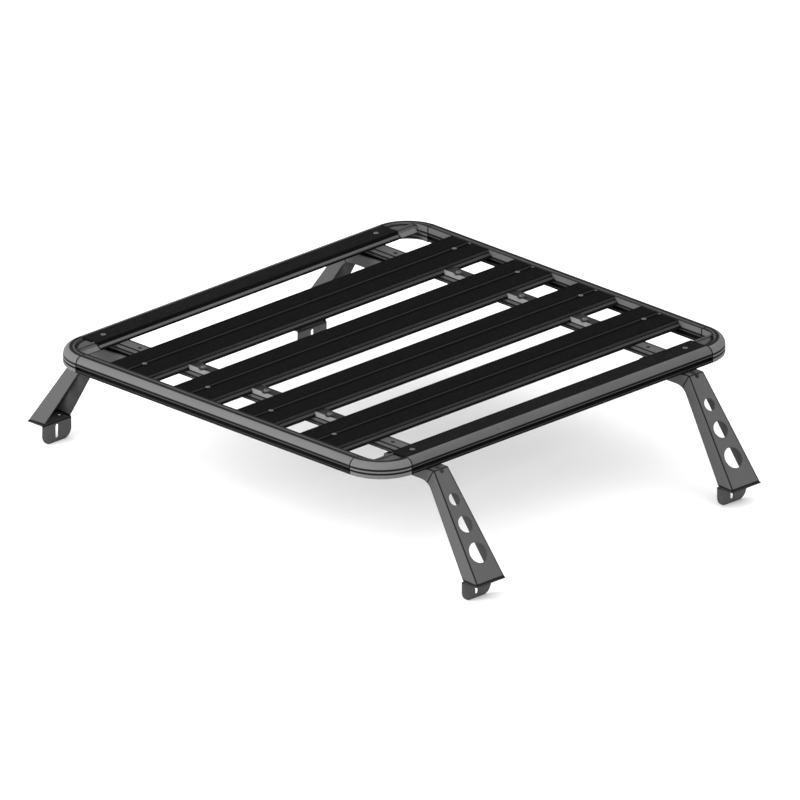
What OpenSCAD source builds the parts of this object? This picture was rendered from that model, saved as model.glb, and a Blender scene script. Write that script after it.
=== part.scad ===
// Roof rack: a slatted tray on two cross rails and four splayed legs.
// X runs along the planks, Y across them, Z is up. The origin lies on the
// ground, under the middle of the tray.

/* [Tray] */
// Length of the tray along its planks, over the side beams
tray_length = 1160; // [900:5:1500]
// Space between the tops of an edge beam and the plank beside it
end_gap = 106; // [80:1:150]
// Radius of the tray's corners, seen from above
corner_r = 100; // [92:1:116]
// Radius of the round along the tray's upper outer edge
edge_round = 17; // [12:1:18]

/* [Side beams] */
// Width of a side beam, from its outer to its inner face
side_beam_w = 35; // [30:1:40]

/* [Edge beams] */
// Width of an edge beam's upper face, outer round included
edge_beam_w = 69; // [62:1:76]
// Width of an edge beam's full-height outer box
edge_box_w = 22; // [20:1:28]

/* [Beam slots] */
// Width of the mouth of a slot
slot_mouth = 6; // [5:0.5:9]
// Width of the room behind the mouth, which takes a bolt head
slot_room = 14; // [12:0.5:15]
// Depth of that room
slot_depth = 7; // [4:0.5:8]
// Thickness of the lips at the mouth
slot_lip = 3; // [2:0.5:4]
// Height of a slot's middle above the tray's underside
slot_height = 11.5; // [10:0.5:12]

/* [Corner castings] */
// Width of a casting beside a side beam, from its outer to its inner face
casting_w = 31; // [26:1:34]
// Depth of the pocket in a casting's upper face
pocket_depth = 4; // [2:0.5:6]
// Width of the ledge between the inner edge and the pocket's rib
ledge_w = 7; // [4:0.5:10]
// Thickness of that rib and of the casting's other thin walls
casting_wall = 3; // [2:0.5:5]
// Width of a casting's bottom flange, from the outer face inward
flange_w = 33; // [28:1:40]

/* [Planks] */
// Width of a deck plank's upper face
plank_w = 119; // [100:1:130]
// Thickness of a deck plank
plank_t = 15; // [14:0.5:20]
// Distance from the middle of one plank to the middle of the next
plank_pitch = 202; // [185:1:230]
// How far a plank's lower edges stand out past its upper face
flare_w = 12.5; // [6:0.5:15]
// Height of that flare
flare_h = 8; // [5:0.5:9]
// Width of the mouth of a plank's slot
plank_mouth = 10; // [8:0.5:12]
// Width of the room under that mouth
plank_room = 18; // [15:0.5:22]
// Thickness of the lips over that room
plank_lip = 3; // [2.5:0.5:4]
// Depth of the room
plank_room_depth = 7; // [6:0.5:8]
// Thickness of a plank's walls
plank_wall = 4; // [3:0.5:5]

/* [Grooves] */
// Distance from one tread groove to the next
groove_pitch = 3.5; // [3:0.25:5]
// Width of a tread groove
groove_w = 1.5; // [1:0.25:2.5]
// Depth of a tread groove
groove_depth = 1; // [0.5:0.25:1.5]
// Distance from one fine groove on a plank's sides to the next
fine_pitch = 2.3; // [2:0.1:2.4]
// Width of a fine groove
fine_w = 1; // [0.6:0.1:1.4]
// Depth of a fine groove
fine_depth = 0.6; // [0.3:0.1:1]

/* [Cross rails] */
// Distance from the end of the tray to the middle of a rail
rail_inset = 172; // [140:1:260]
// Width of a cross rail
rail_w = 42; // [38:1:50]
// Height of a cross rail, which lies between the arms and the planks
rail_h = 22; // [20:0.5:28]
// Width of the foot along a rail's underside
rail_foot_w = 20; // [12:1:30]
// Height of that foot
rail_foot_h = 5; // [3:0.5:8]
// Width of the shoulders along a rail's upper edges
rail_shoulder_w = 5.5; // [3:0.5:6.5]
// Diameter of the holes in a rail, one for each step of the planks
rail_hole_d = 10; // [6:0.5:12]

/* [Rail brackets] */
// Width of the bracket that sits on a rail between two planks
bracket_w = 35.5; // [30:0.5:36]

/* [Legs] */
// Distance from the foot plates up to the tray's underside
leg_drop = 230; // [170:1:350]
// Angle between a leg's outer face and the vertical
leg_splay = 35; // [20:1:45]
// How far the top of a leg stands out past the tray's edge
leg_overhang = 19.5; // [8:0.5:30]
// Width of a leg at its top, and of its arm
leg_top_w = 49; // [46:1:60]
// Width of a leg at the foot plate
leg_bottom_w = 91; // [78:1:100]
// Level depth of a leg's side flanges at the foot plate
leg_bottom_depth = 48; // [40:1:49]
// Thickness of the folded sheet
sheet_t = 3; // [2:0.5:4]
// Inner radius of the sheet's bends
bend_inner_r = 1; // [0.5:0.5:4]
// Length of the arm under the tray, from the top of the leg inward
arm_length = 158; // [130:1:220]
// Depth of an arm's side flanges
arm_depth = 28; // [24:1:34]
// Size of the cut-off corner at the end of those flanges
arm_end_cut = 10; // [4:1:16]
// Radius of the inner corner between arm and leg
arm_corner_r = 40;

/* [Leg openings] */
// Diameter of the upper hole in a leg
hole_top_d = 30; // [20:1:32]
// Diameter of the middle hole
hole_middle_d = 40; // [24:1:42]
// Diameter of the lower hole
hole_bottom_d = 50; // [30:1:52]
// Place of the upper hole, as a share of the leg's slope
hole_top_place = 0.27; // [0.24:0.01:0.29]
// Place of the middle hole
hole_middle_place = 0.49; // [0.48:0.01:0.51]
// Place of the lower hole
hole_bottom_place = 0.74; // [0.72:0.01:0.8]
// Width of the notch over the fold at the top of a leg
notch_w = 12; // [8:1:16]
// How far that notch runs down the leg
notch_drop = 11; // [9:1:20]
// How far it runs in over the arm
notch_run = 24; // [12:1:40]

/* [Feet] */
// Height of a foot's tab, from the ground to the top of the foot plate
foot_tab_h = 50; // [46:0.5:70]
// Depth of the foot plate
foot_plate_depth = 49; // [49:1:70]
// Diameter of the two bolt holes in a foot plate
foot_hole_d = 9; // [6.5:0.5:13]
// Distance between those two holes
foot_hole_spacing = 62; // [40:1:64]
// Radius of a tab's lower corners
foot_corner_r = 24; // [6:1:30]
// Length of the slot in a tab
foot_slot_l = 34; // [20:1:36]
// Width of that slot
foot_slot_w = 10; // [8:0.5:14]

/* [Hidden] */
$fn = 64;
over = 1;
plank_count = 4;
gap_count = plank_count - 1;
tray_h = rail_h + plank_t;
tray_width = 2 * (edge_beam_w + end_gap) + gap_count * plank_pitch + plank_w;
tray_z = foot_tab_h + leg_drop;
half_length = tray_length / 2;
half_width = tray_width / 2;
side_beam_l = tray_width - 2 * corner_r;
edge_beam_l = tray_length - 2 * corner_r;
plank_length = tray_length - 2 * side_beam_w;
plank_gap = plank_pitch - plank_w;
flare_l = norm([flare_w, flare_h]);
line_w = 1.2;
line_depth = 1;
seam_height = tray_h - edge_round;
pocket_floor = tray_h - pocket_depth;
inner_edge_y = corner_r - edge_beam_w;
flare_stop = 16;
rail_x = half_length - rail_inset;
rail_length = tray_width - 2 * edge_box_w;
rail_step = 1;
rail_chamfer = 2;
bracket_foot = 0.5;
bracket_groove_pitch = 2.4;
bracket_slope = flare_h - bracket_foot;
leg_top_y = half_width + leg_overhang;
leg_reach = leg_drop * tan(leg_splay);
foot_y = leg_top_y + leg_reach;
slope_length = leg_drop / cos(leg_splay);
mitre_lean = 0.6;
mitre_angle = atan(mitre_lean);
mitre_span = leg_reach * cos(mitre_angle) + leg_drop * sin(mitre_angle);
leg_taper = (leg_bottom_w - leg_top_w) / 2;
edge_lean = atan(leg_taper / slope_length);
flange_lean = atan(tan(90 - leg_splay - mitre_angle) * sin(edge_lean));
bend_r = bend_inner_r + sheet_t;
bend_bite = 0.05;
arc_bite = 0.01;
far = leg_drop + arm_length;

// Puts a piece drawn in the back right quarter into the quarter asked for
module quarter(side_x, side_y) {
    if (side_x < 0) mirror([1, 0, 0]) quarter(1, side_y) children();
    else if (side_y < 0) mirror([0, 1, 0]) children();
    else children();
}

// Cuts an outline as it is and once more, mirrored left to right
module both_sides() {
    children();
    mirror([1, 0]) children();
}

// What lies between a corner and an arc that touches both its sides, which
// leave the corner at the angles first and second
module corner_piece(corner, first, second, r) {
    half = (second - first) / 2;
    middle = (first + second) / 2;
    center = r / sin(half) * [cos(middle), sin(middle)];
    translate(corner)
        difference() {
            polygon([
                -over * [cos(middle), sin(middle)],
                r / tan(half) * [cos(first), sin(first)],
                center,
                r / tan(half) * [cos(second), sin(second)]
            ]);
            translate(center) circle(r = r + arc_bite);
        }
}

// A T-shaped slot that opens at the outline's left edge, at a given height
module beam_slot(height) {
    translate([-over, height - slot_mouth / 2]) square([slot_lip + 2 * over, slot_mouth]);
    translate([slot_lip, height - slot_room / 2]) square([slot_depth, slot_room]);
}

// A thin line cut into the outline's left edge, just under a given height
module edge_line(height) {
    translate([-over, height - line_w]) square([line_depth + over, line_w]);
}

// Tread grooves from one place to another across an outline's top
module tread(from, to, top) {
    count = floor((to - from) / groove_pitch);
    start = (from + to - (count - 1) * groove_pitch - groove_w) / 2;
    for (i = [0 : count - 1])
        translate([start + i * groove_pitch, top - groove_depth])
            square([groove_w, groove_depth + over]);
}

// The tray's outer edge: round above, upright below, outer face on the left
module rim_outline(width) {
    difference() {
        square([width, tray_h]);
        corner_piece([0, tray_h], -90, 0, edge_round);
        corner_piece([0, 0], 0, 90, 2);
        edge_line(seam_height);
    }
}

// Outline of a side beam, outer face on the left
module side_beam_outline() {
    difference() {
        rim_outline(side_beam_w);
        beam_slot(slot_height);
        translate([side_beam_w, 0])
            mirror([1, 0]) {
                beam_slot(slot_height);
                edge_line(rail_h + line_w / 2);
                corner_piece([0, 0], 0, 90, 3);
            }
    }
}

// Fine grooves in a plank's side: on its upright part and low on its flare
module fine_grooves() {
    upright = plank_t - flare_h;
    for (i = [0 : 2]) {
        translate([-fine_depth, flare_h + upright / 2 + (i - 1) * fine_pitch - fine_w / 2])
            square([fine_depth + over, fine_w]);
        translate([0, flare_h])
            rotate(-atan(flare_h / flare_w))
                translate([flare_l - line_w - fine_w - i * fine_pitch, -fine_depth])
                    square([fine_w, fine_depth + over]);
    }
}

// Outline of an edge beam, outer face on the left
module edge_beam_outline() {
    difference() {
        union() {
            rim_outline(edge_box_w);
            translate([edge_box_w - over, rail_h])
                square([edge_beam_w - edge_box_w + over, plank_t]);
            translate([edge_beam_w, rail_h])
                polygon([[-over, 0], [flare_w, 0], [0, flare_h], [-over, flare_h]]);
        }
        beam_slot(slot_height);
        tread(edge_round + 2, edge_beam_w - 3, tray_h);
        translate([edge_beam_w, rail_h]) fine_grooves();
        translate([edge_box_w, rail_h - over])
            square([edge_beam_w - edge_box_w - plank_wall, plank_t - plank_wall + over]);
    }
}

// Outline of a plank, with its slot in the middle of the upper face and two
// open channels underneath
module plank_outline() {
    half = plank_w / 2;
    channel = plank_room / 2 + plank_wall;
    difference() {
        union() {
            translate([-half, 0]) square([plank_w, plank_t]);
            polygon([
                [-half - flare_w, 0], [half + flare_w, 0], [half, flare_h], [-half, flare_h]
            ]);
        }
        translate([-plank_mouth / 2, plank_t - plank_lip - over])
            square([plank_mouth, plank_lip + 2 * over]);
        translate([-plank_room / 2, plank_t - plank_lip - plank_room_depth])
            square([plank_room, plank_room_depth]);
        both_sides() {
            tread(plank_mouth / 2 + 8, half - 6, plank_t);
            translate([half, 0]) fine_grooves();
            translate([channel, -over])
                square([half - plank_wall - channel, plank_t - plank_wall + over]);
        }
    }
}

module side_beam(side) {
    color("dimgray")
        translate([side * half_length, 0, tray_z])
            mirror([side > 0 ? 1 : 0, 0, 0])
                rotate([90, 0, 0])
                    translate([0, 0, -side_beam_l / 2])
                        linear_extrude(side_beam_l) side_beam_outline();
}

module edge_beam(side) {
    color("dimgray")
        translate([0, side * half_width, tray_z])
            mirror([0, side > 0 ? 1 : 0, 0])
                rotate([90, 0, 90])
                    translate([0, 0, -edge_beam_l / 2])
                        linear_extrude(edge_beam_l) edge_beam_outline();
}

// The part of a casting that lies inside its rim, seen from above
module casting_plan() {
    intersection() {
        square(corner_r);
        circle(r = corner_r - edge_round - over / 2);
    }
}

// Everything inside the upper strip's inner edge, which joins the side beam's
// inner face to the edge beam's box
module strip_inside() {
    r = corner_r - side_beam_w;
    rise = side_beam_w - edge_box_w;
    translate([-over, -over]) square([r + over, rise + over]);
    translate([0, rise]) circle(r = r);
}

module corner_casting(side_x, side_y) {
    color("gray")
        quarter(side_x, side_y)
            translate([half_length - corner_r, half_width - corner_r, tray_z]) {
                rotate_extrude(angle = 90)
                    translate([corner_r, 0])
                        mirror([1, 0])
                            difference() {
                                rim_outline(edge_round + over);
                                edge_line(slot_height + line_w / 2);
                            }
                linear_extrude(tray_h)
                    difference() {
                        casting_plan();
                        strip_inside();
                    }
                linear_extrude(pocket_floor)
                    intersection() {
                        casting_plan();
                        translate([corner_r - casting_w, 0]) square([casting_w, corner_r]);
                    }
                translate([0, 0, rail_h]) {
                    linear_extrude(pocket_floor - rail_h)
                        intersection() {
                            casting_plan();
                            translate([0, inner_edge_y]) square(corner_r);
                        }
                    linear_extrude(plank_t)
                        intersection() {
                            casting_plan();
                            translate([0, inner_edge_y + ledge_w]) square([corner_r, casting_wall]);
                        }
                    rotate([90, 0, 90])
                        linear_extrude(corner_r - casting_w - flare_stop)
                            polygon([
                                [inner_edge_y - flare_w, 0], [inner_edge_y + over, 0],
                                [inner_edge_y + over, flare_h], [inner_edge_y, flare_h]
                            ]);
                }
                linear_extrude(casting_wall)
                    difference() {
                        casting_plan();
                        circle(r = corner_r - flange_w);
                    }
            }
}

module deck_plank(number) {
    y = (number - (plank_count + 1) / 2) * plank_pitch;
    color([0.08, 0.08, 0.08])
        translate([0, y, tray_z + rail_h])
            rotate([90, 0, 90])
                translate([0, 0, -plank_length / 2])
                    linear_extrude(plank_length) plank_outline();
}

// Outline of a rail on its foot, with a low shoulder along each upper edge
module rail_outline() {
    half = rail_w / 2;
    top = rail_h - rail_step;
    difference() {
        union() {
            polygon([
                [rail_chamfer - half, rail_foot_h], [half - rail_chamfer, rail_foot_h],
                [half, rail_foot_h + rail_chamfer], [half, top],
                [-half, top], [-half, rail_foot_h + rail_chamfer]
            ]);
            translate([rail_shoulder_w - half, rail_foot_h])
                square([rail_w - 2 * rail_shoulder_w, rail_h - rail_foot_h]);
            translate([-rail_foot_w / 2, 0]) square([rail_foot_w, rail_h - over]);
        }
        both_sides()
            translate([-half, 0]) edge_line((rail_foot_h + rail_h) / 2);
    }
}

module cross_rail(side) {
    color("dimgray")
        translate([side * rail_x, 0, tray_z])
            difference() {
                rotate([90, 0, 0])
                    translate([0, 0, -rail_length / 2])
                        linear_extrude(rail_length) rail_outline();
                for (step = [-gap_count / 2 - 0.5 : gap_count / 2 + 0.5])
                    translate([0, step * plank_pitch, -over])
                        cylinder(d = rail_hole_d, h = rail_h + 2 * over);
            }
}

// A bracket fills the space between two planks up to the top of their flares
module rail_bracket(side, number) {
    y = (number - plank_count / 2) * plank_pitch;
    back = rail_w / 2;
    front = back - bracket_w;
    color("gray")
        translate([side * rail_x, y, tray_z + rail_h])
            difference() {
                intersection() {
                    rotate([90, 0, 0])
                        translate([0, 0, -plank_gap / 2])
                            linear_extrude(plank_gap)
                                polygon([
                                    [front, 0], [back, 0], [back, flare_h],
                                    [front + bracket_slope, flare_h], [front, bracket_foot]
                                ]);
                    rotate([90, 0, 90])
                        translate([0, 0, -rail_w])
                            linear_extrude(2 * rail_w)
                                polygon([
                                    [flare_w - plank_gap / 2, 0], [plank_gap / 2 - flare_w, 0],
                                    [plank_gap / 2, flare_h], [-plank_gap / 2, flare_h]
                                ]);
                }
                translate([0, 0, -over]) cylinder(d = rail_hole_d, h = flare_h + 2 * over);
                for (i = [0 : 1], x = [
                    front + bracket_slope + line_w + i * bracket_groove_pitch,
                    back - 2 * line_w - i * bracket_groove_pitch
                ])
                    translate([x, -plank_gap / 2, flare_h - line_depth])
                        cube([line_w, plank_gap, line_depth + over]);
            }
}

// Side view of a leg and its arm, as [distance out from the fold, height over
// the tray's underside]
module leg_outline() {
    inner = [-mitre_lean * arm_depth, -arm_depth];
    low = [leg_reach - leg_bottom_depth, -leg_drop];
    run = low - inner;
    difference() {
        polygon([
            [-arm_length, 0], [-arm_length, arm_end_cut - arm_depth],
            [arm_end_cut - arm_length, -arm_depth], inner, low, [leg_reach, -leg_drop], [0, 0]
        ]);
        corner_piece([0, 0], 180, 270 + leg_splay, bend_r);
    }
    corner_piece(inner, 180, 360 + atan2(run[1], run[0]), arm_corner_r);
}

// The same view of the space under the sheet, open below and at the arm's end
module leg_inside() {
    fold = -sheet_t * (1 - sin(leg_splay)) / cos(leg_splay);
    drop = leg_drop + over;
    difference() {
        polygon([
            [-arm_length - over, -drop],
            [drop * tan(leg_splay) - sheet_t / cos(leg_splay), -drop],
            [fold, -sheet_t], [-arm_length - over, -sheet_t]
        ]);
        corner_piece([fold, -sheet_t], 180, 270 + leg_splay, bend_inner_r);
    }
}

// Stands a side view up as a piece wider than the leg
module across_leg() {
    rotate([90, 0, 90])
        translate([0, 0, -leg_bottom_w])
            linear_extrude(2 * leg_bottom_w) children();
}

// Everything between the planes of the two side flanges, moved in where asked
module between_flanges(inset) {
    top = leg_top_w / 2 - inset;
    low = top + leg_taper / mitre_span * far;
    rotate([-mitre_angle, 0, 0])
        translate([0, 0, -far])
            linear_extrude(2 * far)
                polygon([[-top, -far], [top, -far], [top, 0], [low, far], [-low, far], [-top, 0]]);
}

// Lays a piece drawn as [across, down the slope, out] on a leg's outer face
module on_leg_face() {
    rotate([leg_splay - 90, 0, 0]) children();
}

// What a bend takes off a sharp edge, where one side leans in by an angle
module bend_corner(lean) {
    half = (90 - lean) / 2;
    inward = [cos(225 - lean / 2), sin(225 - lean / 2)];
    depth = bend_r - bend_bite;
    reach = depth + over;
    center = depth / sin(half) * inward;
    difference() {
        polygon([
            center, center + [0, reach], -over / sin(half) * inward,
            center + reach * [cos(lean), -sin(lean)]
        ]);
        translate(center) circle(r = bend_r);
    }
}

// The rounding of the long bends: the arm's as far as the mitre, then the leg's
module bends() {
    for (flip = [0, 1])
        mirror([flip, 0, 0]) {
            intersection() {
                translate([leg_top_w / 2, 0, 0])
                    rotate([90, 0, 0])
                        translate([0, 0, -2 * bend_r])
                            linear_extrude(arm_length + over + 2 * bend_r) bend_corner(0);
                rotate([-mitre_angle, 0, 0]) translate([-far, bend_bite - 2 * far, -far]) cube(2 * far);
            }
            intersection() {
                on_leg_face()
                    translate([leg_top_w / 2, 0, 0])
                        rotate([90, 0, -edge_lean])
                            translate([0, 0, -slope_length - 2 * bend_r])
                                linear_extrude(slope_length + 4 * bend_r)
                                    bend_corner(flange_lean);
                rotate([-mitre_angle, 0, 0]) translate([-far, -bend_bite, -far]) cube(2 * far);
            }
        }
}

// A round hole through a leg's outer face, at a share of the slope
module leg_hole(place, diameter) {
    on_leg_face()
        translate([0, place * slope_length, -2 * sheet_t])
            cylinder(d = diameter, h = 4 * sheet_t);
}

// The notch that runs from the arm's upper face over the fold onto the leg
module notch() {
    intersection() {
        on_leg_face()
            translate([0, 0, -arm_length])
                linear_extrude(2 * arm_length) {
                    translate([0, notch_drop - notch_w / 2]) circle(d = notch_w);
                    translate([-notch_w / 2, -arm_length])
                        square([notch_w, arm_length + notch_drop - notch_w / 2]);
                }
        translate([-notch_w, -notch_run, -arm_length]) cube(2 * arm_length);
    }
}

module leg(side_x, side_y) {
    color("dimgray")
        quarter(side_x, side_y)
            translate([rail_x, leg_top_y, tray_z])
                difference() {
                    intersection() {
                        across_leg() leg_outline();
                        between_flanges(0);
                    }
                    intersection() {
                        across_leg() leg_inside();
                        between_flanges(sheet_t);
                    }
                    bends();
                    leg_hole(hole_top_place, hole_top_d);
                    leg_hole(hole_middle_place, hole_middle_d);
                    leg_hole(hole_bottom_place, hole_bottom_d);
                    notch();
                }
}

// Side view of a foot: the level plate, the bend and the hanging tab
module foot_outline() {
    difference() {
        union() {
            square([sheet_t, foot_tab_h]);
            translate([0, foot_tab_h - sheet_t]) square([foot_plate_depth, sheet_t]);
            corner_piece([sheet_t, foot_tab_h - sheet_t], -90, 0, bend_inner_r);
        }
        corner_piece([0, foot_tab_h], -90, 0, bend_r);
    }
}

// What is cut out of a tab: its two lower corners and an upright slot
module tab_cuts() {
    span = foot_slot_l - foot_slot_w;
    both_sides() corner_piece([leg_bottom_w / 2, 0], 90, 180, foot_corner_r);
    translate([0, foot_tab_h / 2]) {
        square([foot_slot_w, span], center = true);
        translate([0, span / 2]) circle(d = foot_slot_w);
        translate([0, -span / 2]) circle(d = foot_slot_w);
    }
}

module foot(side_x, side_y) {
    color("dimgray")
        quarter(side_x, side_y)
            translate([rail_x, foot_y - foot_plate_depth, 0])
                difference() {
                    rotate([90, 0, 90])
                        translate([0, 0, -leg_bottom_w / 2])
                            linear_extrude(leg_bottom_w) foot_outline();
                    translate([0, sheet_t + over, 0])
                        rotate([90, 0, 0]) linear_extrude(sheet_t + 2 * over) tab_cuts();
                    for (side = [-1, 1])
                        translate([side * foot_hole_spacing / 2, foot_plate_depth / 2, 0])
                            cylinder(d = foot_hole_d, h = 2 * foot_tab_h);
                }
}

side_beam(-1);  // side_beam_left
side_beam(1);  // side_beam_right
edge_beam(-1);  // edge_beam_front
edge_beam(1);  // edge_beam_back
corner_casting(-1, -1);  // corner_casting_front_left
corner_casting(1, -1);  // corner_casting_front_right
corner_casting(-1, 1);  // corner_casting_back_left
corner_casting(1, 1);  // corner_casting_back_right
deck_plank(1);  // deck_plank_1
deck_plank(2);  // deck_plank_2
deck_plank(3);  // deck_plank_3
deck_plank(4);  // deck_plank_4
cross_rail(-1);  // cross_rail_left
cross_rail(1);  // cross_rail_right
rail_bracket(-1, 1);  // rail_bracket_left_1
rail_bracket(-1, 2);  // rail_bracket_left_2
rail_bracket(-1, 3);  // rail_bracket_left_3
rail_bracket(1, 1);  // rail_bracket_right_1
rail_bracket(1, 2);  // rail_bracket_right_2
rail_bracket(1, 3);  // rail_bracket_right_3
leg(-1, -1);  // leg_front_left
leg(1, -1);  // leg_front_right
leg(-1, 1);  // leg_back_left
leg(1, 1);  // leg_back_right
foot(-1, -1);  // foot_front_left
foot(1, -1);  // foot_front_right
foot(-1, 1);  // foot_back_left
foot(1, 1);  // foot_back_right
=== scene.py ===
import math

import bpy
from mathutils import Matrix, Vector


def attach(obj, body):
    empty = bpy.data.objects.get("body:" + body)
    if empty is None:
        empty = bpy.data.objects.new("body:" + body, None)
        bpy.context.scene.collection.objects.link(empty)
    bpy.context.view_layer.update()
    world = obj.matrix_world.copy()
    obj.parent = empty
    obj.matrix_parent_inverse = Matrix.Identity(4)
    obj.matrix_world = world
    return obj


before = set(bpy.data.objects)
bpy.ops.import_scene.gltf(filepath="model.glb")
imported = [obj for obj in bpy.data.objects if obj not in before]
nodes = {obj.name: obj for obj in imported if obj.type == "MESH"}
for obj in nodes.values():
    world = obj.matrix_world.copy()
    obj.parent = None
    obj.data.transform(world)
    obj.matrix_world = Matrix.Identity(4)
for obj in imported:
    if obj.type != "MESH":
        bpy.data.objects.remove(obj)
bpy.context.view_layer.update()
scene = bpy.context.scene
print("rack loaded:", len(nodes), "parts")


# Places that more than one piece needs, in metres from the rack's middle and the floor
tray = 0.280  # height of the tray's underside
deck = tray + 0.037  # and of the planks' upper faces
railX = 0.408  # middle of a cross rail and of the legs under it
plankPitch = 0.202
ends = {"X": 0.480, "Y": 0.4375}  # where the castings meet the edge beams and the side beams
everywhere = 9.0  # a reach past the whole rack


# Camera: a parallel view from above the front left corner
camera = {
    "azimuth": -45.0,
    "elevation": 21.81,
    "width": 1.808,  # metres across the picture
    "away": 5.0,
    "near": 0.05,
    "far": 60.0,
    "aim": (-0.0166, -0.0351, tray - 0.0913),
}


def addCamera(values):
    turn, rise = math.radians(values["azimuth"]), math.radians(values["elevation"])
    level = math.cos(rise)
    back = Vector((math.sin(turn) * level, -math.cos(turn) * level, math.sin(rise)))
    lens = bpy.data.cameras.new("camera")
    lens.type = "ORTHO"
    lens.ortho_scale = values["width"]
    lens.clip_start, lens.clip_end = values["near"], values["far"]
    item = bpy.data.objects.new("camera", lens)
    item.rotation_mode = "QUATERNION"
    item.location = Vector(values["aim"]) + back * values["away"]
    item.rotation_quaternion = (-back).to_track_quat("-Z", "Y")
    scene.collection.objects.link(item)
    scene.camera = item


addCamera(camera)
print("camera set")


lineCore = 0.6  # share of a dark line's reach that has its full strength


# Node trees: a wire is an output socket that can be reckoned with, a kit adds nodes to one tree
class Wire:
    def __init__(self, kit, socket):
        self.kit = kit
        self.socket = socket

    def __add__(self, other):
        return self.kit.calc("ADD", self, other)

    def __sub__(self, other):
        return self.kit.calc("SUBTRACT", self, other)

    def __rsub__(self, other):
        return self.kit.calc("SUBTRACT", other, self)

    def __mul__(self, other):
        return self.kit.calc("MULTIPLY", self, other)

    def __truediv__(self, other):
        return self.kit.calc("DIVIDE", self, other)

    def __pow__(self, other):
        return self.kit.calc("POWER", self, other)

    __radd__ = __add__
    __rmul__ = __mul__


class Kit:
    def __init__(self, tree):
        self.tree = tree
        tree.nodes.clear()

    def add(self, kind, settings=None, sockets=None, out=0):
        node = self.tree.nodes.new(kind)
        for key, value in (settings or {}).items():
            if key == "stops":
                self.fillRamp(node.color_ramp, value)
            else:
                setattr(node, key, value)
        for key, value in (sockets or {}).items():
            for part in value if isinstance(value, list) else [value]:
                if isinstance(part, Wire):
                    self.tree.links.new(part.socket, node.inputs[key])
                else:
                    node.inputs[key].default_value = part
        return Wire(self, node.outputs[out]) if len(node.outputs) else None

    def fillRamp(self, ramp, stops):
        while len(ramp.elements) < len(stops):
            ramp.elements.new(1.0)
        for element, (place, grey) in zip(ramp.elements, stops):
            element.position = place
            element.color = (grey, grey, grey, 1.0)

    def calc(self, operation, first, second=0.0):
        return self.add("ShaderNodeMath", {"operation": operation}, {0: first, 1: second})

    def split(self, vector):
        node = self.add("ShaderNodeSeparateXYZ", {}, {"Vector": vector}).socket.node
        return {axis: Wire(self, node.outputs[axis]) for axis in "XYZ"}

    def band(self, source, low, high):
        stops = [(low, 0.0), (high, 1.0)]
        return self.add("ShaderNodeValToRGB", {"stops": stops}, {"Fac": source})

    def blend(self, share, first, second):
        settings = {"data_type": "RGBA"}
        return self.add("ShaderNodeMix", settings, {0: share, 6: first, 7: second}, out=2)

    def near(self, source, place, reach):
        away = self.calc("ABSOLUTE", source - place)
        return 1 - self.band(away / reach, lineCore, 1.0)

    def noise(self, place, scale, detail, roughness=0.55):
        values = {"Vector": place, "Scale": scale, "Detail": detail, "Roughness": roughness}
        return self.add("ShaderNodeTexNoise", {}, values)


def grey(value, warmth=0.0):
    return (value * (1 + warmth), value, value * (1 - warmth), 1.0)


# Finishes: powder coat on every part, with die lines where a part is an extrusion
finish = {
    "base": 0.068,  # linear grey of the coat
    "worn": 0.17,  # grey of a worn edge
    "dust": 0.13,
    "rough": 0.50,
    "metal": 0.0,
    "gloss": 0.30,
    "wear": 0.6,  # share of the worn grey at an edge
    "outline": 0.0,  # how dark folds and free edges are drawn
    "edge": 0.0011,  # how far wear and rounding reach in from an edge
    "crevice": 0.006,  # how wide a gap gets painted shade
    "cloud": 7.0,  # these five are waves per metre: soft tones,
    "patch": 38.0,  # patches of wear and dust,
    "peel": 330.0,  # orange peel,
    "grain": 1500.0,
    "lines": 900.0,  # and die lines across an extrusion
    "stretch": 0.012,  # share of those waves that is left along it
    "peelDepth": 0.12,  # millimetres
    "grainDepth": 0.05,
    "lineDepth": 0.06,
}
# Shares of each effect in every coat
shares = {
    "tone": 0.12,  # lighter and darker than the base
    "speck": 0.12,
    "speckLight": 1.6,
    "speckLost": 0.8,  # on a walking strip
    "dust": 0.2,
    "shade": 0.9,
    "shadeDark": 0.08,
    "wornLeast": 0.35,
    "bump": 0.7,
}
# What each effect adds to the roughness or takes from it
roughening = {"cloud": 0.16, "grain": 0.14, "dust": 0.35, "worn": -0.10, "lines": 0.12}
# Where each effect starts and where it is full
bands = {
    "edge": (0.02, 0.16),
    "patch": (0.44, 0.66),
    "settled": (0.42, 0.68),
    "speck": (0.62, 0.78),
    "shade": (0.30, 0.85),
    "dustSlope": (0.55, 0.98),  # these three by how far a face looks up
    "stripSlope": (0.88, 0.94),
    "lipSlope": (0.45, 0.60),
    "flangeSlope": (0.5, 0.8),  # and this by how far it looks sideways
}
ink = {"grey": 0.003, "share": 0.95}  # of the dark lines
bend = {  # the legs' mitred corner
    "Y": 0.557,
    "lean": math.atan(0.6),
    "taper": 0.0819,  # widening of half the web for each metre away from the mitre
}


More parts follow.
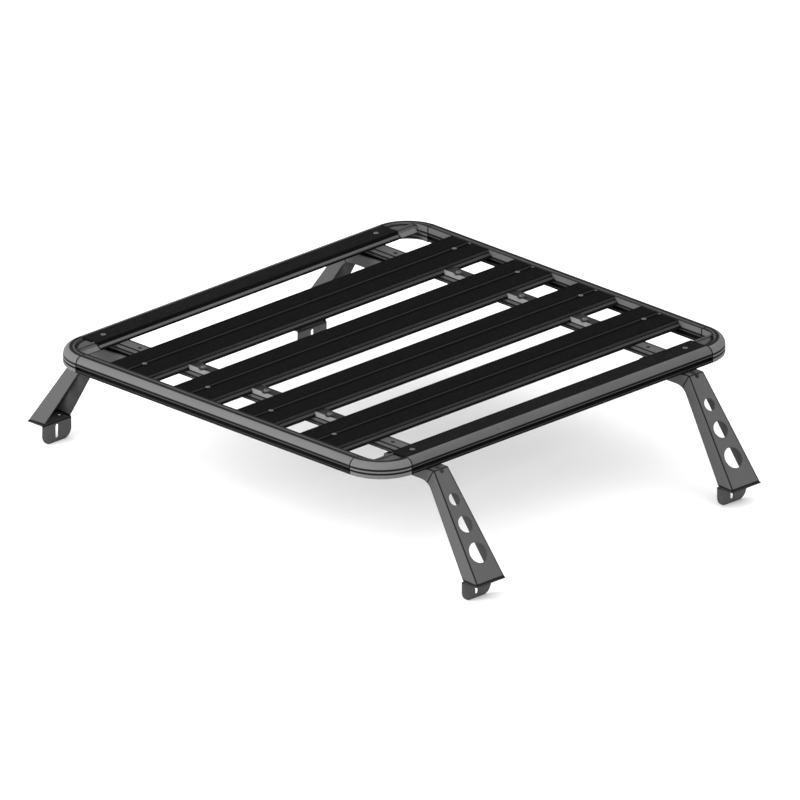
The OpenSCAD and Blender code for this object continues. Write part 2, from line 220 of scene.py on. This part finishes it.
def coat(name, change, along=None, seams=None, strip=None):
    look = {**finish, **change}
    seams = seams or {}
    material = bpy.data.materials.new(name)
    material.use_nodes = True
    kit = Kit(material.node_tree)
    place = kit.add("ShaderNodeTexCoord", out="Object")
    fields = {axis: kit.calc("ABSOLUTE", wire) for axis, wire in kit.split(place).items()}
    out = [kit.calc("MAXIMUM", fields[axis] - ends[axis]) for axis in "XY"]
    fields["rim"] = (out[0] * out[0] + out[1] * out[1]) ** 0.5
    cloud = kit.noise(place, look["cloud"], 4.0)
    patch = kit.noise(place, look["patch"], 5.0, 0.65)
    peel = kit.noise(place, look["peel"], 2.0)
    grain = kit.noise(place, look["grain"], 2.0, 0.7)

    soft = kit.add("ShaderNodeBevel", {"samples": 4}, {"Radius": look["edge"]})
    flat = kit.add("ShaderNodeNewGeometry", out="Normal")
    turned = kit.split(flat)
    upward = turned["Z"]
    facing = kit.add(
        "ShaderNodeVectorMath", {"operation": "DOT_PRODUCT"}, {0: soft, 1: flat}, out="Value"
    )
    edge = kit.band(1 - facing, *bands["edge"])
    patchy = kit.band(patch, *bands["patch"]) * (1 - shares["wornLeast"]) + shares["wornLeast"]
    worn = edge * patchy * look["wear"]
    settled = kit.band(patch * 0.5 + cloud * 0.5, *bands["settled"])
    dusty = kit.band(upward, *bands["dustSlope"]) * settled * shares["dust"]
    # painted shade: the base colour darkens where ambient occlusion finds a crevice, gap or recess
    clear = kit.add(
        "ShaderNodeAmbientOcclusion", {"samples": 8}, {"Distance": look["crevice"]}, out="AO"
    )
    shade = 1 - kit.band(clear, *bands["shade"])

    dark, light = (grey(look["base"] * (1 + sign * shares["tone"])) for sign in (-1, 1))
    base = kit.blend(cloud, dark, light)
    speck = kit.band(grain, *bands["speck"]) * shares["speck"]
    if strip:  # level faces closer to the middle than the strip's reach are darker and cleaner
        inside = kit.calc("LESS_THAN", fields["rim"], strip["reach"])
        level = inside * kit.band(upward, *bands["stripSlope"])
        base = kit.blend(level, base, grey(strip["base"]))
        speck = speck * (1 - level * shares["speckLost"])
        dusty = dusty * (1 - level * strip["clean"])
        worn = worn * (1 - level * strip["clean"])
    colour = kit.blend(speck, base, grey(look["base"] * shares["speckLight"]))
    colour = kit.blend(dusty, colour, grey(look["dust"], 0.04))
    colour = kit.blend(worn, colour, grey(look["worn"]))
    # the painted crevice shade is blended into the colour here
    colour = kit.blend(shade * shares["shade"], colour, grey(look["base"] * shares["shadeDark"]))
    colour = kit.blend(edge * look["outline"], colour, grey(ink["grey"]))
    masks = {}
    if "rim" in seams:  # these lines run along upper faces only, not down the wall beside them
        masks["rim"] = kit.band(upward, *bands["lipSlope"])
    if "fold" in seams:  # and these along a leg's web only, not over its flanges
        outward, down = fields["Y"] - bend["Y"], tray - fields["Z"]
        past = outward * math.cos(bend["lean"]) + down * math.sin(bend["lean"])
        fields["mitre"] = past
        fields["fold"] = kit.calc("ABSOLUTE", fields["X"] - railX) - past * bend["taper"]
        sideways = kit.calc("ABSOLUTE", turned["X"])
        masks["fold"] = 1 - kit.band(sideways, *bands["flangeSlope"])
    for field, (reach, positions) in seams.items():
        for position in positions:
            seam = kit.near(fields[field], position, reach)
            if field in masks:
                seam = seam * masks[field]
            colour = kit.blend(seam * ink["share"], colour, grey(ink["grey"]))
    rough = look["rough"] + (cloud - 0.5) * roughening["cloud"] + (grain - 0.5) * roughening["grain"]
    rough = rough + dusty * roughening["dust"] + worn * roughening["worn"]
    relief = peel * look["peelDepth"] + grain * look["grainDepth"]
    if along:
        squeezed = tuple(look["lines"] * (look["stretch"] if axis == along else 1.0) for axis in "XYZ")
        run = kit.add("ShaderNodeMapping", {}, {"Vector": place, "Scale": squeezed})
        drawn = kit.noise(run, 1.0, 3.0, 0.6)
        relief = relief + drawn * look["lineDepth"]
        rough = rough + (drawn - 0.5) * roughening["lines"]
    normal = kit.add("ShaderNodeBump", {}, {
        "Height": relief, "Strength": shares["bump"], "Distance": 0.001, "Normal": soft,
    })
    surface = kit.add("ShaderNodeBsdfPrincipled", {}, {
        "Base Color": colour, "Roughness": rough, "Normal": normal,
        "Metallic": look["metal"], "Specular IOR Level": look["gloss"],
    })
    kit.add("ShaderNodeOutputMaterial", {}, {"Surface": surface})
    return material


# Dark lines at joints and folds, and painted shade along steps and grooves: how far each reaches, then
# where it lies.
# X and Y count from the middle, Z from the floor, rim outward from the corners' centres,
# fold across a leg's web and mitre along its slope
# painted shade: wide dark bands along the beams' outer steps and slot, standing in for their shadow
stepShadeLines = [tray + step for step in (0.0029, 0.0084, 0.0144, 0.0206)]
sideLines = {
    "Y": (0.0024, [ends["Y"]]), "Z": (0.0034, stepShadeLines), "rim": (0.0056, [0.0662, 0.0820]),
}
edgeLines = {
    "X": (0.0022, [ends["X"]]), "Y": (0.0022, [0.4570, 0.4588, 0.4685]), "Z": (0.0032, stepShadeLines),
}
plankLines = {"Z": (0.0011, [tray + 0.0228, tray + 0.0245, tray + 0.0300])}
castingLines = {
    "X": (0.0022, [ends["X"]]), "Y": (0.0022, [ends["Y"]]),
    "Z": (0.0030, [tray + 0.0118, tray + 0.0206]), "rim": (0.0052, [0.0700, 0.0820]),
}
# painted shade along the rail's shoulder steps and grooves
railShadeLines = {
    "X": (0.0030, [railX - 0.0155, railX + 0.0155]), "Z": (0.0034, [tray + 0.0065, tray + 0.0135]),
}
legLines = {"Z": (0.0030, [0.0520]), "mitre": (0.0022, [0.0]), "fold": (0.0050, [0.0235])}
footLines = {"Z": (0.0026, [0.0470])}
stripReach = 0.0815  # how far out along the rim the flat lips go
coats = {
    "sideBeamCoat": coat("side beam coat", {
        "base": 0.098, "gloss": 0.02,
    }, "Y", sideLines, {"reach": stripReach, "base": 0.040, "clean": 0.4}),
    # the tread's near-black strip is partly a dark grip finish and partly painted shade of its grooves
    "edgeBeamCoat": coat("edge beam coat", {
        "base": 0.076, "gloss": 0.004, "edge": 0.0008,
    }, "X", edgeLines, {"reach": stripReach, "base": 0.0030, "clean": 0.94}),
    # the top's near-black strip is partly a dark grip finish and partly painted shade of its grooves; the
    # lighter worn edges are partly wear and partly a painted highlight along the edges
    "plankCoat": coat("plank coat", {
        "base": 0.040, "worn": 0.08, "dust": 0.04, "rough": 0.55, "wear": 0.8, "gloss": 0.003,
        "edge": 0.0008, "crevice": 0.0025,
    }, "X", plankLines, {"reach": everywhere, "base": 0.0030, "clean": 0.95}),
    "castingCoat": coat("casting coat", {
        "base": 0.104, "gloss": 0.02, "peel": 240.0, "peelDepth": 0.18, "wear": 0.3, "outline": 0.6,
    }, None, castingLines, {"reach": stripReach, "base": 0.050, "clean": 0.4}),
    # the rail's wider crevice reach paints shade into its hole and stepped grooves
    "railCoat": coat("rail coat", {
        "base": 0.062, "gloss": 0.05, "crevice": 0.013, "wear": 0.3, "outline": 0.7,
    }, "Y", railShadeLines),
    # painted light: the bracket's high base grey is a painted highlight on its slopes, and its level
    # top's near-black strip is painted shade
    "bracketCoat": coat("bracket coat", {
        "base": 0.15, "gloss": 0.05, "wear": 0.3, "outline": 0.6,
    }, "Y", None, {"reach": everywhere, "base": 0.008, "clean": 0.7}),
    "legCoat": coat("leg coat", {
        "base": 0.068, "rough": 0.46, "gloss": 0.06, "edge": 0.0019, "wear": 0.3, "outline": 0.85,
    }, None, legLines),
    "footCoat": coat("foot coat", {
        "base": 0.064, "rough": 0.46, "gloss": 0.10, "edge": 0.0019, "wear": 0.3, "outline": 0.85,
    }, None, footLines),
    "screwCoat": coat("screw coat", {
        "base": 0.08, "worn": 0.18, "rough": 0.40, "metal": 0.5, "edge": 0.0004, "wear": 0.8,
        "gloss": 0.2, "crevice": 0.002,
    }),
    "washerCoat": coat("washer coat", {
        "base": 0.006, "worn": 0.03, "edge": 0.0003, "gloss": 0.1, "crevice": 0.002,
    }),
}
coatOf = {
    "side_beam": "sideBeamCoat", "edge_beam": "edgeBeamCoat", "deck_plank": "plankCoat",
    "corner_casting": "castingCoat", "cross_rail": "railCoat", "rail_bracket": "bracketCoat",
    "leg": "legCoat", "foot": "footCoat",
}


def dress(item, material):
    if not item.material_slots:
        item.data.materials.append(material)
    for slot in item.material_slots:
        slot.material = material


for name, item in nodes.items():
    dress(item, coats[next(coatOf[start] for start in coatOf if name.startswith(start))])
print("coats on", len(nodes), "parts")


# Screws: one tree makes a domed head with a hexagon socket and a washer at every point
castingScrew = {
    "head": 0.0085, "rise": 0.0060, "washer": 0.0100, "plate": 0.0008, "key": 0.0040,
    "slot": "casting_coat",
}
screwSets = {
    "bracket_screws": {
        "points": [(x, y * plankPitch, tray + 0.030) for x in (-railX, railX) for y in (-1, 0, 1)],
        "head": 0.0130, "rise": 0.0040, "washer": 0.0220, "plate": 0.0012, "key": 0.0050,
        "slot": "bracket_coat",
    },
    "casting_screws_left": {
        "points": [(-0.549, y, tray + 0.017) for y in (-0.464, 0.464)],
        "tilt": (0.0, math.pi / 2), **castingScrew,
    },
    "casting_screws_right": {
        "points": [(0.549, y, tray + 0.017) for y in (-0.464, 0.464)],
        "tilt": (0.0, -math.pi / 2), **castingScrew,
    },
    "plank_screws": {
        "points": [(x, y * plankPitch, deck) for x in (-0.495, 0.495) for y in (-1.5, -0.5, 0.5, 1.5)],
        "head": 0.0112, "rise": 0.0009, "washer": 0.0124, "plate": 0.0002, "key": 0.0040,
        "slot": "plank_coat",
    },
    "edge_beam_screws": {
        "points": [(x, y, deck) for x in (-0.436, 0.436) for y in (-0.494, 0.494)],
        "head": 0.0118, "rise": 0.0010, "washer": 0.0136, "plate": 0.0003, "key": 0.0050,
        "slot": "beam_coat",
    },
    "arm_screws": {
        "points": [(x, side * y, tray - 0.003) for x in (-railX, railX)
                   for side in (-1, 1) for y in (0.425, 0.485)],
        "head": 0.0130, "rise": 0.0040, "washer": 0.0170, "plate": 0.0012, "key": 0.0060,
        "slot": "rail_coat", "tilt": (math.pi, 0.0),
    },
}
dome = {
    "corners": 40,
    "rings": 8,
    "fall": 0.62,  # how much the head narrows to its top
    "keyStart": 0.35,  # the socket's floor, as a share of the head's rise
    "keyDepth": 1.2,  # as such a share too, so that it cuts through the top
}


def screwTree():
    tree = bpy.data.node_groups.new("screws on points", "GeometryNodeTree")
    tree.is_modifier = True
    face = tree.interface
    face.new_socket("Geometry", in_out="INPUT", socket_type="NodeSocketGeometry")
    sizes = ("Head Width", "Head Rise", "Washer Width", "Washer Plate", "Key Width", "Tilt X", "Tilt Y")
    for label in sizes:
        face.new_socket(label, in_out="INPUT", socket_type="NodeSocketFloat")
    for label in ("Head Finish", "Washer Finish"):
        face.new_socket(label, in_out="INPUT", socket_type="NodeSocketMaterial")
    face.new_socket("Geometry", in_out="OUTPUT", socket_type="NodeSocketGeometry")
    kit = Kit(tree)
    group = tree.nodes.new("NodeGroupInput")
    given = {socket.name: Wire(kit, socket) for socket in group.outputs if socket.name}
    width, rise = given["Head Width"], given["Head Rise"]
    plate, key = given["Washer Plate"], given["Key Width"]

    def solid(corners, radius, depth, low, rings=1):
        return kit.add("GeometryNodeTransform", {}, {
            "Geometry": kit.add("GeometryNodeMeshCylinder", {}, {
                "Vertices": corners, "Side Segments": rings, "Radius": radius, "Depth": depth,
            }),
            "Translation": kit.add("ShaderNodeCombineXYZ", {}, {"Z": low + depth * 0.5}),
        })

    head = solid(dome["corners"], width * 0.5, rise, plate, dome["rings"])
    spot = kit.split(kit.add("GeometryNodeInputPosition"))
    level = (spot["Z"] - plate) / rise
    swell = (1 - level * level * level * dome["fall"]) ** 0.5
    domed = kit.add("GeometryNodeSetPosition", {}, {
        "Geometry": head,
        "Position": kit.add("ShaderNodeCombineXYZ", {}, {
            "X": spot["X"] * swell, "Y": spot["Y"] * swell, "Z": spot["Z"],
        }),
    })
    keyRadius = key * (1 / math.sqrt(3))
    socketHole = solid(6, keyRadius, rise * dome["keyDepth"], plate + rise * dome["keyStart"])
    cut = kit.add("GeometryNodeMeshBoolean", {"operation": "DIFFERENCE"}, {
        "Mesh 1": domed, "Mesh 2": socketHole,
    })
    washer = solid(dome["corners"], given["Washer Width"] * 0.5, plate, 0.0)
    spin = kit.add("FunctionNodeRandomValue", {"data_type": "FLOAT"}, {
        2: 0.0, 3: math.tau, "Seed": 7,
    }, out=1)
    tilt, twist = (
        kit.add("FunctionNodeEulerToRotation", {}, {"Euler": kit.add("ShaderNodeCombineXYZ", {}, angles)})
        for angles in ({"X": given["Tilt X"], "Y": given["Tilt Y"]}, {"Z": spin})
    )
    turn = kit.add("FunctionNodeRotateRotation", {"rotation_space": "LOCAL"}, {
        "Rotation": tilt, "Rotate By": twist,
    })

    def onPoints(piece, label):
        placed = kit.add("GeometryNodeInstanceOnPoints", {}, {
            "Points": given["Geometry"], "Instance": piece, "Rotation": turn,
        })
        real = kit.add("GeometryNodeRealizeInstances", {}, {"Geometry": placed})
        return kit.add("GeometryNodeSetMaterial", {}, {"Geometry": real, "Material": given[label]})

    coated = [onPoints(cut, "Head Finish"), onPoints(washer, "Washer Finish")]
    whole = kit.add("GeometryNodeJoinGeometry", {}, {"Geometry": coated})
    kit.add("NodeGroupOutput", {}, {"Geometry": whole})
    return tree


sharpAngle = math.radians(32)  # edges more turned than this stay sharp


def keepMesh(name, source):
    graph = bpy.context.evaluated_depsgraph_get()
    mesh = bpy.data.meshes.new_from_object(source.evaluated_get(graph))
    bpy.data.objects.remove(source, do_unlink=True)
    item = bpy.data.objects.new(name, mesh)
    scene.collection.objects.link(item)
    mesh.shade_smooth()
    mesh.set_sharp_from_angle(angle=sharpAngle)
    return item


def addScrews(name, values, tree):
    cloudOfPoints = bpy.data.meshes.new(name + "_points")
    cloudOfPoints.from_pydata(values["points"], [], [])
    holder = bpy.data.objects.new(name + "_points", cloudOfPoints)
    scene.collection.objects.link(holder)
    modifier = holder.modifiers.new("screws", "NODES")
    modifier.node_group = tree
    tiltX, tiltY = values.get("tilt", (0.0, 0.0))
    wanted = {
        "Head Width": values["head"], "Head Rise": values["rise"], "Washer Width": values["washer"],
        "Washer Plate": values["plate"], "Key Width": values["key"], "Tilt X": tiltX, "Tilt Y": tiltY,
        "Head Finish": coats["screwCoat"], "Washer Finish": coats["washerCoat"],
    }
    for socket in tree.interface.items_tree:
        if socket.in_out == "INPUT" and socket.name in wanted:
            modifier[socket.identifier] = wanted[socket.name]
    item = keepMesh(name, holder)
    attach(item, "root")
    print(name, len(item.data.polygons), "faces")


screws = screwTree()
for name, values in screwSets.items():
    addScrews(name, values, screws)


# Studio: a pale floor, two large soft lamps and a bright sky, lighter on the left
studio = {
    "floor": 0.92,
    "floorWidth": 60.0,
    "tooth": 60.0,  # the paper's grain, waves per metre
    "toothShare": 0.01,
    "aim": (0.0, 0.0, 0.2),
    "sky": 1.55,
    "skyLeft": 1.25,  # the sky is brighter on the left than on the right
    "skyRight": 0.70,
    "lamps": [
        {"place": (-4.2, 1.0, 2.6), "width": 2.6, "watts": 180.0},
        {"place": (0.6, -3.8, 3.0), "width": 3.0, "watts": 40.0},
    ],
}


def addStudio(values):
    half = values["floorWidth"] / 2
    corners = [(-half, -half, 0), (half, -half, 0), (half, half, 0), (-half, half, 0)]
    mesh = bpy.data.meshes.new("floor")
    mesh.from_pydata(corners, [], [(0, 1, 2, 3)])
    floor = bpy.data.objects.new("floor", mesh)
    scene.collection.objects.link(floor)
    material = bpy.data.materials.new("floor paper")
    material.use_nodes = True
    kit = Kit(material.node_tree)
    tooth = kit.noise(kit.add("ShaderNodeTexCoord", out="Object"), values["tooth"], 4.0)
    darker, lighter = (grey(values["floor"] * (1 + sign * values["toothShare"])) for sign in (-1, 1))
    surface = kit.add("ShaderNodeBsdfPrincipled", {}, {
        "Base Color": kit.blend(tooth, darker, lighter),
        "Roughness": 0.9, "Specular IOR Level": 0.1,
    })
    kit.add("ShaderNodeOutputMaterial", {}, {"Surface": surface})
    mesh.materials.append(material)

    for lamp in values["lamps"]:
        light = bpy.data.lights.new("lamp", "AREA")
        light.shape = "SQUARE"
        light.size = lamp["width"]
        light.energy = lamp["watts"]
        item = bpy.data.objects.new("lamp", light)
        item.location = lamp["place"]
        item.rotation_mode = "QUATERNION"
        item.rotation_quaternion = (Vector(values["aim"]) - item.location).to_track_quat("-Z", "Y")
        scene.collection.objects.link(item)

    world = bpy.data.worlds.new("sky")
    world.use_nodes = True
    scene.world = world
    sky = Kit(world.node_tree)
    across = sky.split(sky.add("ShaderNodeTexCoord"))["X"] * 0.5 + 0.5
    left, right = grey(values["skyLeft"]), grey(values["skyRight"])
    tint = sky.blend(sky.band(across, 0.05, 0.95), left, right)
    glow = sky.add("ShaderNodeBackground", {}, {"Color": tint, "Strength": values["sky"]})
    sky.add("ShaderNodeOutputWorld", {}, {"Surface": glow})
    scene.view_settings.view_transform = "Standard"


addStudio(studio)
print("studio lit")
